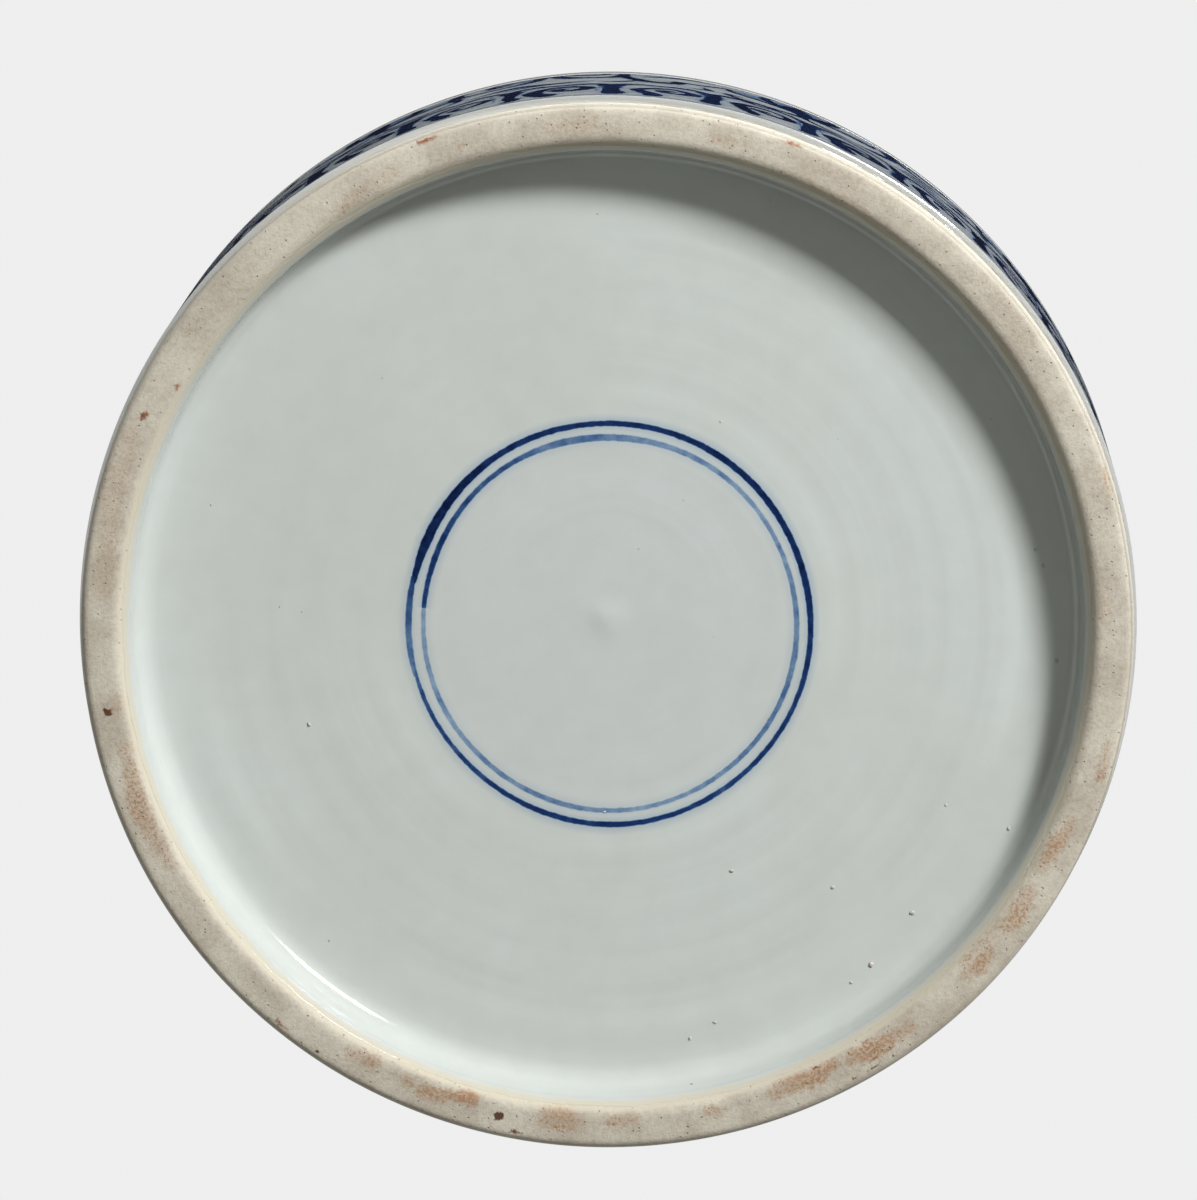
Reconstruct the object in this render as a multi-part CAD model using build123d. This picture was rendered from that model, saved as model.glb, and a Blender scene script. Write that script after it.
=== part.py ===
from build123d import *
from math import acos, degrees
import os

# A round porcelain seal paste box: a body on a turned standing ring, a lift-off cover and the
# cake of paste inside. All sizes are in millimetres. The origin is the centre of the standing
# ring, on the surface that the box rests on, and +Z points up through the cover.

# Body
body_radius = 58.8
glaze_line_height = 1.8
glaze_lip_height = 0.7
joint_height = 41.0
body_wall = 5.6
floor_thickness = 5.0
inside_corner_round = 6.0

# Standing ring under the body, and the recess inside it
foot_inset = 0.3
foot_width = 5.3
foot_outer_round = 1.0
foot_inner_round = 1.2
recess_depth = 6.5
recess_lean = 0.6
recess_cove = 2.4

# Seat for the cover, and the spigot that stands up inside it
rim_round = 0.4
spigot_height = 4.5
spigot_thickness = 2.4
spigot_top_round = 0.8

# Cover
cover_height = 24.0
cover_side_height = 2.5
cover_shoulder_round = 15.0
cover_thickness = 4.2
spigot_clearance = 0.5
spigot_head_room = 1.0

# Paste
paste_clearance = 0.3
paste_height = 22.0
paste_crown_rise = 12.0
paste_shoulder_round = 8.0
paste_belly_round = 7.0

# Sizes that follow from the ones above
foot_radius = body_radius - foot_inset
foot_inner_radius = foot_radius - foot_width
recess_radius = foot_inner_radius - recess_lean
glaze_lip_top = glaze_line_height + glaze_lip_height
inside_radius = body_radius - body_wall
floor_top = recess_depth + floor_thickness
spigot_outer_radius = inside_radius + spigot_thickness
spigot_top = joint_height + spigot_height
socket_radius = spigot_outer_radius + spigot_clearance
socket_depth = spigot_height + spigot_head_room
cover_top = joint_height + cover_height
cover_side_top = joint_height + cover_side_height


def turned(outline):
    """The solid that a closed outline sweeps about Z. Its X is radius and its Y is height."""
    return revolve(make_face(Plane.XZ * outline), Axis.Z)


def pot(corners):
    """A turned solid from corners, each a radius, a height and how far the corner is rounded."""
    points = [(radius, height) for radius, height, _ in corners]
    rounds = [corner_round for _, _, corner_round in corners]
    return turned(FilletPolyline(*points, radius=rounds, close=True))


def dome(radius, bottom, side_top, shoulder_round, top):
    """A turned solid with a flat bottom, an upright side, a rounded shoulder and a low crown.
    The crown's own radius is the one that meets the shoulder without a break."""
    reach = radius - shoulder_round
    rise = top - side_top
    crown_radius = (reach**2 + rise**2 - shoulder_round**2) / (rise - shoulder_round) / 2
    turn = degrees(acos(reach / (crown_radius - shoulder_round)))
    quarter = 90
    outline = Polyline((0, top), (0, bottom), (radius, bottom), (radius, side_top))
    outline += CenterArc((reach, side_top), shoulder_round, 0, turn)
    outline += CenterArc((0, top - crown_radius), crown_radius, turn, quarter - turn)
    return turned(outline)


def edges_at(solid, height):
    """The round edges that lie flat at one height."""
    return solid.edges().filter_by_position(Axis.Z, height, height, inclusive=(True, True))


# Body: standing ring, recess, glaze lip above the ring, wall, seat and spigot in one piece of clay
box_base = pot(
    [
        (0, recess_depth, 0),
        (recess_radius, recess_depth, recess_cove),
        (foot_inner_radius, 0, foot_inner_round),
        (foot_radius, 0, foot_outer_round),
        (foot_radius, glaze_line_height, 0),
        (body_radius, glaze_lip_top, 0),
        (body_radius, joint_height, rim_round),
        (spigot_outer_radius, joint_height, 0),
        (spigot_outer_radius, spigot_top, spigot_top_round),
        (inside_radius, spigot_top, spigot_top_round),
        (inside_radius, floor_top, inside_corner_round),
        (0, floor_top, 0),
    ]
)

# Cover: an even skin that rests on the seat, with a wider socket that drops over the spigot
cover_outside = dome(
    body_radius, joint_height, cover_side_top, cover_shoulder_round, cover_top
)
cover_inside = dome(
    body_radius - cover_thickness,
    joint_height,
    cover_side_top,
    cover_shoulder_round - cover_thickness,
    cover_top - cover_thickness,
)
socket = Pos(0, 0, joint_height + socket_depth / 2) * Cylinder(socket_radius, socket_depth)
box_cover = cover_outside - cover_inside - socket
box_cover = fillet(edges_at(box_cover, joint_height), rim_round)

# Paste: a cake that lies flat on the floor and stays clear of the wall, with a rounded mound on top
paste_side_top = floor_top + paste_height - paste_crown_rise
seal_paste = dome(
    inside_radius - paste_clearance,
    floor_top,
    paste_side_top,
    paste_shoulder_round,
    floor_top + paste_height,
)
seal_paste = fillet(edges_at(seal_paste, floor_top), paste_belly_round)

os.makedirs("parts", exist_ok=True)
nodes = {
    "box_base": box_base,
    "box_cover": box_cover,
    "seal_paste": seal_paste,
}
for node, solid in nodes.items():
    export_step(solid, f"parts/{node}.step")
    print(node, round(solid.volume / 1000, 1), "cm3", solid.bounding_box().size)
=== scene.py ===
from math import acos, ceil, cos, pi, radians, sin, tan

import bmesh
import bpy
import numpy as np
from mathutils import Matrix, Vector, noise as soft_noise


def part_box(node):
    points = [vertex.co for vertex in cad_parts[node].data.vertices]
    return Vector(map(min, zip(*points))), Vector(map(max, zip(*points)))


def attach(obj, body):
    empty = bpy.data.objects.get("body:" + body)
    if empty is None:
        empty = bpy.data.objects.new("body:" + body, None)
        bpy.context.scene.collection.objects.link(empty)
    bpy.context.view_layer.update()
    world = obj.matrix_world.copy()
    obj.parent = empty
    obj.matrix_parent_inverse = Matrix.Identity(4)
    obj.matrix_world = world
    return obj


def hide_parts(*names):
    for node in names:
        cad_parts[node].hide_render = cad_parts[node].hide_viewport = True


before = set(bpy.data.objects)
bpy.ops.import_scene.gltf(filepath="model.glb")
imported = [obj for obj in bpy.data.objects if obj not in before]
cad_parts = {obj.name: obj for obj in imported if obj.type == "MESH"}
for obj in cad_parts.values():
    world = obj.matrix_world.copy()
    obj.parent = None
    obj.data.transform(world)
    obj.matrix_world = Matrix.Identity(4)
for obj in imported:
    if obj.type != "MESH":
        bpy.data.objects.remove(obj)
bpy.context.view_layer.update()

# Body of the box
# One thrown and turned piece of porcelain: standing ring, recessed base, wall, seat for the cover
# and the spigot above it. It is painted in cobalt on the raw clay, glazed all over but for the ring
# that it stands on, the seat and the spigot, and fired once. Sizes are in millimetres.
mm = 0.001
body_high = np.array(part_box("box_base")[1]) / mm
cover_low, cover_high = (np.array(corner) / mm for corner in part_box("box_cover"))
body_radius = body_high[0]
spigot_top = body_high[2]
joint_height = cover_low[2]
foot_inset = 0.3
foot_width = 5.3
foot_radius = body_radius - foot_inset
foot_inner_radius = foot_radius - foot_width
foot_outer_round = 0.9
foot_bevel = 1.6
bevel_outer_round = 1.3
bevel_inner_round = 0.9
recess_depth = 6.5
recess_lean = 0.6
recess_radius = foot_inner_radius - recess_lean
recess_cove = 2.4
glaze_line_height = 1.8
glaze_lip_top = 2.5
glaze_lip_round = 0.5
body_wall = 5.6
inside_radius = body_radius - body_wall
floor_thickness = 5.0
floor_top = recess_depth + floor_thickness
inside_corner_round = 6.0
rim_round = 0.4
spigot_thickness = 2.4
spigot_radius = inside_radius + spigot_thickness
spigot_round = 0.8
circle_radius = 21.6
circle_half_width = 1.9


def way_along(line):
    """How far along a line each of its points lies."""
    return np.append(0, np.cumsum(np.linalg.norm(np.diff(line, axis=0), axis=1)))


def closely(line, grain=0.05):
    """The same line with its points no further apart than grain."""
    line = np.array(line, float)
    length = way_along(line)
    places = np.linspace(0, length[-1], ceil(length[-1] / grain) + 1)
    return np.stack([np.interp(places, length, line[:, k]) for k in range(line.shape[1])], 1)


def turning(centre, start, end, points=40):
    """An arc about a centre from one point to another, the short way round."""
    first, last = np.array(start) - centre, np.array(end) - centre
    turn = acos(first @ last / np.linalg.norm(first) / np.linalg.norm(last))
    share = np.linspace(0, 1, points)[:, None]
    return centre + (np.sin((1 - share) * turn) * first + np.sin(share * turn) * last) / sin(turn)


def rounded(corners):
    """A turned outline from corners, each a radius, a height and how far the corner is rounded."""
    places = np.array([corner[:2] for corner in corners], float)
    line = [places[0]]
    for before, corner, after, (_, _, rounding) in zip(places, places[1:], places[2:], corners[1:]):
        if not rounding:
            line.append(corner)
            continue
        back = (before - corner) / np.linalg.norm(before - corner)
        ahead = (after - corner) / np.linalg.norm(after - corner)
        half = acos(back @ ahead) / 2
        centre = corner + (back + ahead) / np.linalg.norm(back + ahead) * rounding / sin(half)
        reach = rounding / tan(half)
        line.extend(turning(centre, corner + back * reach, corner + ahead * reach))
    return closely(line + [places[-1]])


def rings_along(outline, spacing, most_around=768, least_around=24, tightest=radians(16)):
    """The rings of a turned skin: radius, height and number of points of each. They lie closer
    where the outline bends, and have fewer points where the spacing or the radius allows it."""
    steps = np.diff(outline, axis=0)
    lengths = np.linalg.norm(steps, axis=1)
    heading = np.unwrap(np.arctan2(steps[:, 1], steps[:, 0]))
    bend = np.append(0, np.abs(np.diff(heading)))
    wanted = spacing(*outline.T)
    effort = np.append(0, np.cumsum(np.maximum(lengths / wanted[1:], bend / tightest)))
    places = np.linspace(0, effort[-1], ceil(effort[-1]) + 1)
    radius, height, wanted = (np.interp(places, effort, v) for v in (*outline.T, wanted))
    halvings = np.floor(np.log2(np.maximum(most_around * wanted / (2 * pi * radius + 1e-6), 1)))
    halvings = np.minimum(halvings, np.log2(most_around / least_around))
    for way in (1, -1):
        for k in range(1, len(places)):
            here, last = way * k - (way < 0), way * (k - 1) - (way < 0)
            halvings[here] = min(halvings[here], halvings[last] + 1)
    around = (most_around / 2**halvings).astype(int)
    around[[0, -1]] = 1
    return radius, height, around


def skin_points(radius, height, around):
    """All the points of a turned skin, ring after ring, the centre points first and last."""
    rings = []
    for r, z, count in zip(radius, height, around):
        angle = 2 * pi * np.arange(count) / count
        rings.append(np.stack([r * np.cos(angle), r * np.sin(angle), np.full(count, z)], 1))
    return np.concatenate(rings)


def round_ring(count):
    """The number of each point of a ring, and of the next one round."""
    return np.arange(count), (np.arange(count) + 1) % count


def skin_faces(around):
    """Faces between the rings of a turned skin, where a ring may have half or twice the points of
    the one before it. They face outwards if the rings run from below, out, up and in."""
    faces = []
    first = np.append(0, np.cumsum(around))
    for k, (here, there) in enumerate(zip(around, around[1:])):
        a, b = first[k], first[k + 1]
        if here == 1 or there == 1:
            rim = max(here, there)
            ring, centre = (b, a) if here == 1 else (a, b)
            i, j = round_ring(rim)
            pole = np.full(rim, centre)
            fan = (pole, ring + j, ring + i) if here == 1 else (pole, ring + i, ring + j)
            faces += np.stack(fan, 1).tolist()
        elif here == there:
            i, j = round_ring(here)
            faces += np.stack([a + i, a + j, b + j, b + i], 1).tolist()
        else:
            coarse, fine = (a, b) if here < there else (b, a)
            count = min(here, there)
            c0, c1 = coarse + np.array(round_ring(count))
            f0, f1, f2 = (fine + (2 * np.arange(count) + k) % (2 * count) for k in range(3))
            fans = [(c0, f1, f0), (c0, c1, f1), (c1, f2, f1)]
            if here > there:
                fans = [fan[::-1] for fan in fans]
            for fan in fans:
                faces += np.stack(fan, 1).tolist()
    return faces


def in_scene(name, data):
    """A new object in the scene."""
    thing = bpy.data.objects.new(name, data)
    bpy.context.scene.collection.objects.link(thing)
    return thing


def skin(name, points, faces):
    """A smooth mesh object of points in millimetres."""
    mesh = bpy.data.meshes.new(name)
    mesh.from_pydata((points * mm).tolist(), [], faces)
    mesh.shade_smooth()
    return in_scene(name, mesh)


def body_spacing(radius, height):
    """How far apart the points of the body's skin may lie: least where it is painted."""
    nearly = 0.1
    inside = (radius < spigot_radius + nearly) & (height > recess_depth + nearly)
    recess = (height < recess_depth + nearly) & (radius < foot_inner_radius - 1)
    circle = recess & (np.abs(radius - circle_radius) < circle_half_width)
    return np.select([inside, circle, recess], [2.0, 0.22, 0.9], 0.5)


body_outline = rounded([
    (0, recess_depth, 0),
    (recess_radius, recess_depth, recess_cove),
    (foot_inner_radius, foot_bevel, bevel_inner_round),
    (foot_inner_radius + 0.8 * foot_bevel, 0, bevel_outer_round),
    (foot_radius, 0, foot_outer_round),
    (foot_radius, glaze_line_height, 0),
    (body_radius, glaze_lip_top, glaze_lip_round),
    (body_radius, joint_height, rim_round),
    (spigot_radius, joint_height, 0),
    (spigot_radius, spigot_top, spigot_round),
    (inside_radius, spigot_top, spigot_round),
    (inside_radius, floor_top, inside_corner_round),
    (0, floor_top, 0),
])
body_rings = rings_along(body_outline, body_spacing)
body_points = skin_points(*body_rings)


def round_axis(points):
    """The radius and the angle of points about the box's axis."""
    return np.hypot(points[:, 0], points[:, 1]), np.arctan2(points[:, 1], points[:, 0])


def along_skin(rings):
    """How far along its outline each point of a turned skin lies."""
    radius, height, around = rings
    return np.repeat(way_along(np.stack([radius, height], 1)), around)


def place_on_outline(outline, radius, height):
    """How far along an outline its nearest point to a place lies."""
    gaps = np.hypot(outline[:, 0] - radius, outline[:, 1] - height)
    return way_along(outline)[np.argmin(gaps)]


def inside_glaze(places, bare):
    """How far inside the glaze each place on a skin lies, negative on bare clay. Each bare stretch
    is the start and end of its way along the outline."""
    reach = np.full(len(places), 50.0)
    for start, end in bare:
        reach = np.minimum(reach, np.maximum(start - places, places - end))
    return reach


def brushed(places, step=0.7):
    """A brush stroke as a smooth line through given places. Columns: across, up, width, load."""
    places = np.array(places, float)
    ends = np.concatenate([[2 * places[0] - places[1]], places, [2 * places[-1] - places[-2]]])
    ends[[0, -1], 2:] = places[[0, -1], 2:]
    line = []
    for p0, p1, p2, p3 in zip(ends, ends[1:], ends[2:], ends[3:]):
        count = max(2, ceil(np.linalg.norm(p2[:2] - p1[:2]) / step))
        t = np.linspace(0, 1, count, endpoint=False)[:, None]
        bend = 2 * p0 - 5 * p1 + 4 * p2 - p3
        line.append(p1 + t * ((p2 - p0) + t * (bend + t * (3 * (p1 - p2) + p3 - p0))) / 2)
    line = np.concatenate(line + [places[-1:]])
    line[:, 2] = np.maximum(line[:, 2], 0.12)
    return line


def painted(points, strokes, most=12):
    """Lays brush strokes on the points of a skin. Each stroke is rows of a place in space, a width
    and a load of pigment. Gives each point how far inside the paint it lies and its load."""
    reach = np.full(len(points), -2.0)
    load = np.zeros(len(points))
    for stroke in strokes:
        for first in range(0, len(stroke) - 1, most):
            part = stroke[first : first + most + 1]
            margin = part[:, 3].max() / 2 + 1.2
            low, high = part[:, :3].min(0) - margin, part[:, :3].max(0) + margin
            near = np.flatnonzero(((points > low) & (points < high)).all(1))
            start, run = part[:-1, :3], np.diff(part[:, :3], axis=0)
            offset = points[near][:, None] - start
            share = (offset * run).sum(-1) / np.maximum((run * run).sum(-1), 1e-9)
            share = share.clip(0, 1)
            gap = np.linalg.norm(offset - share[..., None] * run, axis=-1)
            width = part[:-1, 3] + share * np.diff(part[:, 3])
            held = part[:-1, 4] + share * np.diff(part[:, 4])
            within = width / 2 - gap
            best = within.argmax(1)
            row = np.arange(len(near))
            better = within[row, best] > reach[near]
            chosen = near[better]
            reach[chosen] = within[row, best][better]
            load[chosen] = held[row, best][better]
    return reach, load


def decorate(piece, points, layers, glaze_reach):
    """Keeps for each point of a piece how far it lies in each layer of brush strokes, with what
    load, and how far inside the glaze, for its material to read."""
    measures = {"glaze_reach": glaze_reach}
    for layer, strokes in layers.items():
        measures[layer + "_reach"], measures[layer + "_load"] = painted(points, strokes)
    for name, values in measures.items():
        column = piece.data.attributes.new(name, "FLOAT", "POINT")
        column.data.foreach_set("value", np.asarray(values, np.float32))


def on_wall(line):
    """A stroke on the wall, from millimetres round it and up it."""
    angle = line[:, 0] / body_radius
    x, y = body_radius * np.cos(angle), body_radius * np.sin(angle)
    return np.stack([x, y, *line[:, 1:].T], 1)


def on_recess(line):
    """A stroke on the recessed base, from millimetres across it each way."""
    return np.insert(line, 2, recess_depth, axis=1)


hand = np.random.default_rng(3)


def by_hand(places, shift=(0, 0), load=1.0, swing=0.22):
    """A stroke through a copy of its places, as the next one by the same hand: moved, and never
    quite alike. Rows are across, up and width."""
    places = np.column_stack([places, np.full(len(places), load)])
    places[:, :2] += hand.normal(0, swing, (len(places), 2)) + hand.normal(0, swing, 2)
    places[:, :2] += shift
    places[:, 2] *= hand.normal(1, 0.1, len(places)) * hand.normal(1, 0.06)
    places[:, 3] *= hand.normal(1, 0.06)
    return brushed(places)


# The double circle on the base: two turns of the brush while the pot stood upside down on the
# wheel. Rows are degrees round from +X, width and load.
circle_centre = (0.2, 0.65)
outer_circle_radius = 22.35
inner_circle_radius = 20.8
outer_circle = [
    (192, 0.5, 0.95), (204, 0.88, 1), (218, 0.82, 1), (233, 0.62, 0.95), (250, 0.54, 0.88),
    (270, 0.5, 0.86), (290, 0.56, 0.92), (315, 0.6, 0.95), (345, 0.62, 0.95), (368, 0.5, 0.85),
    (395, 0.44, 0.8), (425, 0.46, 0.8), (450, 0.52, 0.88), (475, 0.48, 0.84), (500, 0.42, 0.78),
    (520, 0.36, 0.7), (534, 0.3, 0.55),
]
outer_join = [(165, 0.35, 0.5), (172, 0.62, 0.55), (183, 0.62, 0.62), (194, 0.5, 0.8)]
inner_circle = [
    (185, 0.45, 0.8), (200, 0.54, 0.82), (216, 0.5, 0.74), (232, 0.46, 0.66), (248, 0.58, 0.55),
    (262, 0.7, 0.5), (280, 0.62, 0.44), (300, 0.48, 0.42), (322, 0.42, 0.38), (345, 0.46, 0.44),
    (365, 0.52, 0.48), (390, 0.48, 0.5), (415, 0.42, 0.44), (440, 0.42, 0.4), (460, 0.48, 0.42),
    (485, 0.48, 0.42), (505, 0.46, 0.38), (525, 0.46, 0.36), (546, 0.4, 0.34),
]


def round_circle(rows, radius):
    """A stroke round the base from rows of degrees, width and load."""
    rows = np.array(rows, float)
    degrees = np.arange(rows[0, 0], rows[-1, 0], 2.0)
    wander = 0.07 * np.sin(np.radians(2 * degrees + 40)) + 0.05 * np.sin(np.radians(5 * degrees))
    x = circle_centre[0] + (radius + wander) * np.cos(np.radians(degrees))
    y = circle_centre[1] + (radius * 1.012 + wander) * np.sin(np.radians(degrees))
    width, load = (np.interp(degrees, rows[:, 0], rows[:, k]) for k in (1, 2))
    width = width * (1.1 + 0.07 * np.sin(np.radians(11 * degrees)) * np.sin(np.radians(4 * degrees)))
    return on_recess(np.stack([x, y, width, load], 1))


strokes = [
    round_circle(outer_circle, outer_circle_radius),
    round_circle(outer_join, outer_circle_radius + 0.1),
    round_circle(inner_circle, inner_circle_radius),
]

# The lower band of the wall: upright lappets side by side, each with a curl that grows from the
# foot. Rows of a stroke are millimetres across from the middle of its lappet, up, and width.
lappets = 32
lappet_width = 2 * pi * body_radius / lappets
lappet_foot = 6.4
half = lappet_width / 2
lappet_side = [
    (-half, 0.4, 1.6), (-half, 1.8, 2.5), (-half, 5.6, 1.7), (-half, 10.5, 1.8), (-half, 13.6, 2.2),
]
lappet_arch = [
    (-half, 13, 1.6), (-5, 15.5, 1.9), (-2.6, 17, 1.6), (0, 16.2, 1.2),
    (2.6, 17, 1.6), (5, 15.5, 1.9), (half, 13, 1.6),
]
lappet_lining = [
    (-4.4, 9, 0.3), (-4.5, 12.2, 0.4), (-2.6, 15, 0.5), (0.2, 14.6, 0.45), (2.8, 15, 0.5), (4.5, 12.2, 0.4),
    (4.4, 5, 0.3),
]
lappet_curl = [
    (-1, 0.2, 1.6), (-1.2, 2, 2.6), (-2, 5, 2), (-2.9, 8.4, 1.9), (-1.6, 11.8, 1.7), (1.2, 12.6, 1.7),
    (3.3, 10.4, 1.8), (2.9, 7.4, 1.8), (0.7, 6.6, 1.5), (-0.3, 8.2, 1.7), (0.6, 9.4, 2.1),
]
lappet = [(lappet_side, 1.0), (lappet_arch, 0.97), (lappet_lining, 0.4), (lappet_curl, 0.97)]
for k in range(lappets):
    middle = ((k + 0.5) * lappet_width, lappet_foot)
    for places, load in lappet:
        strokes.append(on_wall(by_hand(places, middle, load)))

# The upper band: a lotus scroll. Its vine rises and falls in loops from one blossom to the next.
# Rows as before, from the middle of a blossom and up from the top of the lappets.
scroll_foot = 24.0
scroll_repeats = 3
scroll_length = 2 * pi * body_radius / scroll_repeats
blossom = [
    [(0, 6.2, 1), (0.1, 8.2, 3), (0, 10.6, 4), (0, 13, 2.6), (0.1, 16.4, 0.5)],
    [(-0.4, 6.8, 0.8), (-2.6, 9.2, 1.9), (-4, 12.2, 1.8), (-3.9, 14.6, 1.1), (-2.9, 16.6, 0.3)],
    [(0.4, 6.8, 0.8), (2.8, 9.4, 1.9), (4.2, 12.4, 1.7), (4, 14.8, 1.1), (3.1, 16.6, 0.3)],
    [(-0.6, 6.6, 1), (-3.8, 7.5, 1.9), (-6.8, 8.6, 1.7), (-8.4, 10.8, 1.1), (-8.2, 13, 0.3)],
    [(0.6, 6.6, 1), (3.8, 7.9, 1.9), (7, 9.6, 1.7), (9, 11, 1.1), (9.6, 13.2, 0.3)],
    [(0, 6.8, 1.4), (0.1, 4.6, 1.4), (-1.4, 2.4, 1.5), (-4.4, 1.2, 1.5), (-7.4, 2, 1.2), (-8.4, 4.2, 0.9),
     (-7, 5.2, 0.5)],
    [(0.2, 4.8, 1.2), (1.6, 2.4, 1.6), (4.4, 1.3, 1.7), (7.4, 2.2, 0.5)],
]
long_scroll = [
    [(7.4, 2.2, 0.8), (9.4, 5.4, 1.2), (8.8, 9, 1.4), (8.9, 13.2, 1.7), (10, 16.4, 1.4)],
    [(8.8, 11.4, 1.7), (10.6, 9.4, 1.9), (13.8, 8.7, 1.7), (17, 10, 1.8), (18.7, 13.2, 1.8),
     (18.5, 16.6, 1.3)],
    [(18.5, 16.2, 1.2), (15.4, 16.4, 1.2), (12.8, 14.6, 1.2), (13, 12.3, 1.1), (15, 12.5, 1.2)],
    [(20.6, 16.6, 1.3), (21.6, 12.2, 1.6), (24.4, 9.9, 1.8), (27.6, 10.4, 1.8), (28.7, 14, 1.5),
     (28.2, 16.8, 1)],
    [(22.4, 15.6, 0.4), (24.6, 13.2, 1.3), (26.4, 14.6, 1.1), (25.6, 16.4, 0.4)],
    [(28.7, 12.6, 1.5), (29.6, 8.2, 1.8), (31.9, 5.2, 2), (34.6, 6.4, 1.8), (34.9, 9.4, 1.4),
     (37.4, 9.6, 1.2), (40.4, 12.8, 0.5)],
    [(30.8, 12.4, 0.4), (32.6, 14.2, 1.6), (35.4, 15.8, 1.4), (38.4, 15.6, 0.4)],
    [(11.9, 2, 0.4), (14.2, 4.4, 1.6), (16.6, 5, 2), (20.4, 3, 1.5), (25.2, 4.2, 0.4)],
    [(14.6, 1.2, 0.4), (18.6, 2, 1), (24, 1.6, 0.4)],
    [(26.6, 1.4, 0.4), (28.8, 3, 1.3), (30, 5.4, 0.4)],
    [(37.2, 6.6, 0.4), (38.4, 4, 1.6), (36.4, 1.4, 0.4)],
]
short_scroll = [
    [(7.4, 2.2, 0.8), (9.8, 5, 1.3), (11.6, 9.2, 1.4), (11.4, 13.2, 1.5), (12.8, 16.4, 1.2)],
    [(11.6, 13.4, 1.4), (13, 10.8, 1.6), (15.6, 9.4, 1.7), (19.2, 9.2, 1.5), (21.4, 10.8, 1.2),
     (20.8, 12.8, 0.5)],
    [(13.6, 15.8, 0.6), (16, 13.2, 1.4), (18.6, 13.4, 1.3), (19.4, 15.4, 0.8), (17.8, 16, 0.5)],
    [(18.8, 3.4, 0.4), (22, 5.4, 1.7), (25.4, 6.8, 1.8), (27.6, 9.6, 0.5)],
    [(13.2, 4.8, 0.4), (15.6, 6, 1.6), (18.4, 5.6, 0.4)],
    [(12, 1.8, 0.4), (15.4, 2.4, 1.4), (19, 1.4, 0.4)],
    [(22.4, 16.2, 0.4), (24, 14.2, 1.6), (24.4, 11.8, 0.4)],
]
vines = [(-119.5, long_scroll), (-70.5, short_scroll), (-37.1, long_scroll[:4] + long_scroll[7:9])]
leaf_fills = [
    [(0, 8, 2), (0, 12, 6.4), (0, 15.6, 2)], [(-2, 8, 1.6), (-6.2, 10.6, 3.2), (-7.2, 12.4, 1)],
    [(2, 8.4, 1.6), (6.6, 11, 3.2), (8.4, 12.4, 1)], [(14, 13.8, 3), (16.6, 13.6, 3)],
    [(13.4, 3.2, 1.2), (17, 3.8, 2.8), (22.4, 3.2, 1)],
]
washes = []
for turn in range(scroll_repeats):
    for across, vine in vines:
        middle = (across + turn * scroll_length, scroll_foot)
        for places in blossom + vine:
            strokes.append(on_wall(by_hand(places, middle, 0.97, swing=0.16)))
        for places in leaf_fills:
            washes.append(on_wall(by_hand(places, middle, 0.34)))


def band_line(height, width, load, wander=0.05):
    """A thin line all the way round the wall."""
    across = np.linspace(0, 2 * pi * body_radius, 240)
    sway = np.sin(across * 6 * pi / across[-1]) * wander
    return on_wall(np.stack([across, height + sway, width + 0.5 * sway, load + sway], 1))


for height, width, load in ((40.1, 0.55, 0.7), (4.4, 0.35, 0.3)):
    strokes.append(band_line(height, width, load))


def as_thrown(points):
    """The points of a turned skin as the wheel and the fire leave them: a little out of round, and
    with the faint ribs that the turning tool leaves on the outside."""
    radius, angle = round_axis(points)
    out_of_round = 0.09 * (np.sin(2 * angle + 0.7) - 1) + 0.05 * (np.sin(3 * angle + 2.1) - 1)
    ribs = 0.014 * (np.sin(points[:, 2] * 1.1 + angle) - 1)
    ribs = np.where(radius > body_radius - 2, ribs, 0)
    moved = points.copy()
    moved[:, :2] *= (1 + (out_of_round + ribs) / body_radius)[:, None]
    return moved


# The turning tool left the standing ring a little off the middle of the box, and use has worn down
# its outer edge on the side away from that.
ring_shift = (-0.08, 0.44)
worn_side = radians(-82)
worn_width = 2.6
worn_depth = 0.42
boss_height = 0.21
boss_radius = 1.7


def as_turned(points):
    """The body's points with its standing ring moved off the middle and worn on one side."""
    (radius, angle), z = round_axis(points), points[:, 2]
    outer = radius > foot_inner_radius + foot_bevel
    to_lip = (glaze_lip_top - z) / (glaze_lip_top - glaze_line_height)
    hold = np.where(outer, to_lip, (recess_depth - z) / 4).clip(0, 1)
    near_edge = ((radius - foot_radius) / worn_width + 1).clip(0, 1) ** 2
    worn = near_edge * np.cos(angle - worn_side).clip(0, 1)
    moved = points.copy()
    moved[:, :2] += hold[:, None] * ring_shift
    moved[:, 2] += worn_depth * worn * (1 - z / glaze_line_height).clip(0, 1)
    return moved


def with_throwing_rings(points):
    """The recessed base with its faint turning spiral and the small boss in the middle."""
    radius, angle = round_axis(points)
    on_base = points[:, 2] < recess_depth + 0.01
    base = on_base * np.clip((recess_radius - recess_cove - radius) / 3, 0, 1)
    spiral = 0.012 * np.sin(radius * 1.25 + angle) + 0.03 * np.sin(radius * 0.42 - angle + 1)
    spiral *= 0.55 + 0.45 * np.sin(2 * angle + radius * 0.05)
    boss = -boss_height * np.exp(-((radius / boss_radius) ** 2))
    moved = points.copy()
    moved[:, 2] += base * (spiral + boss)
    return moved


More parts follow.
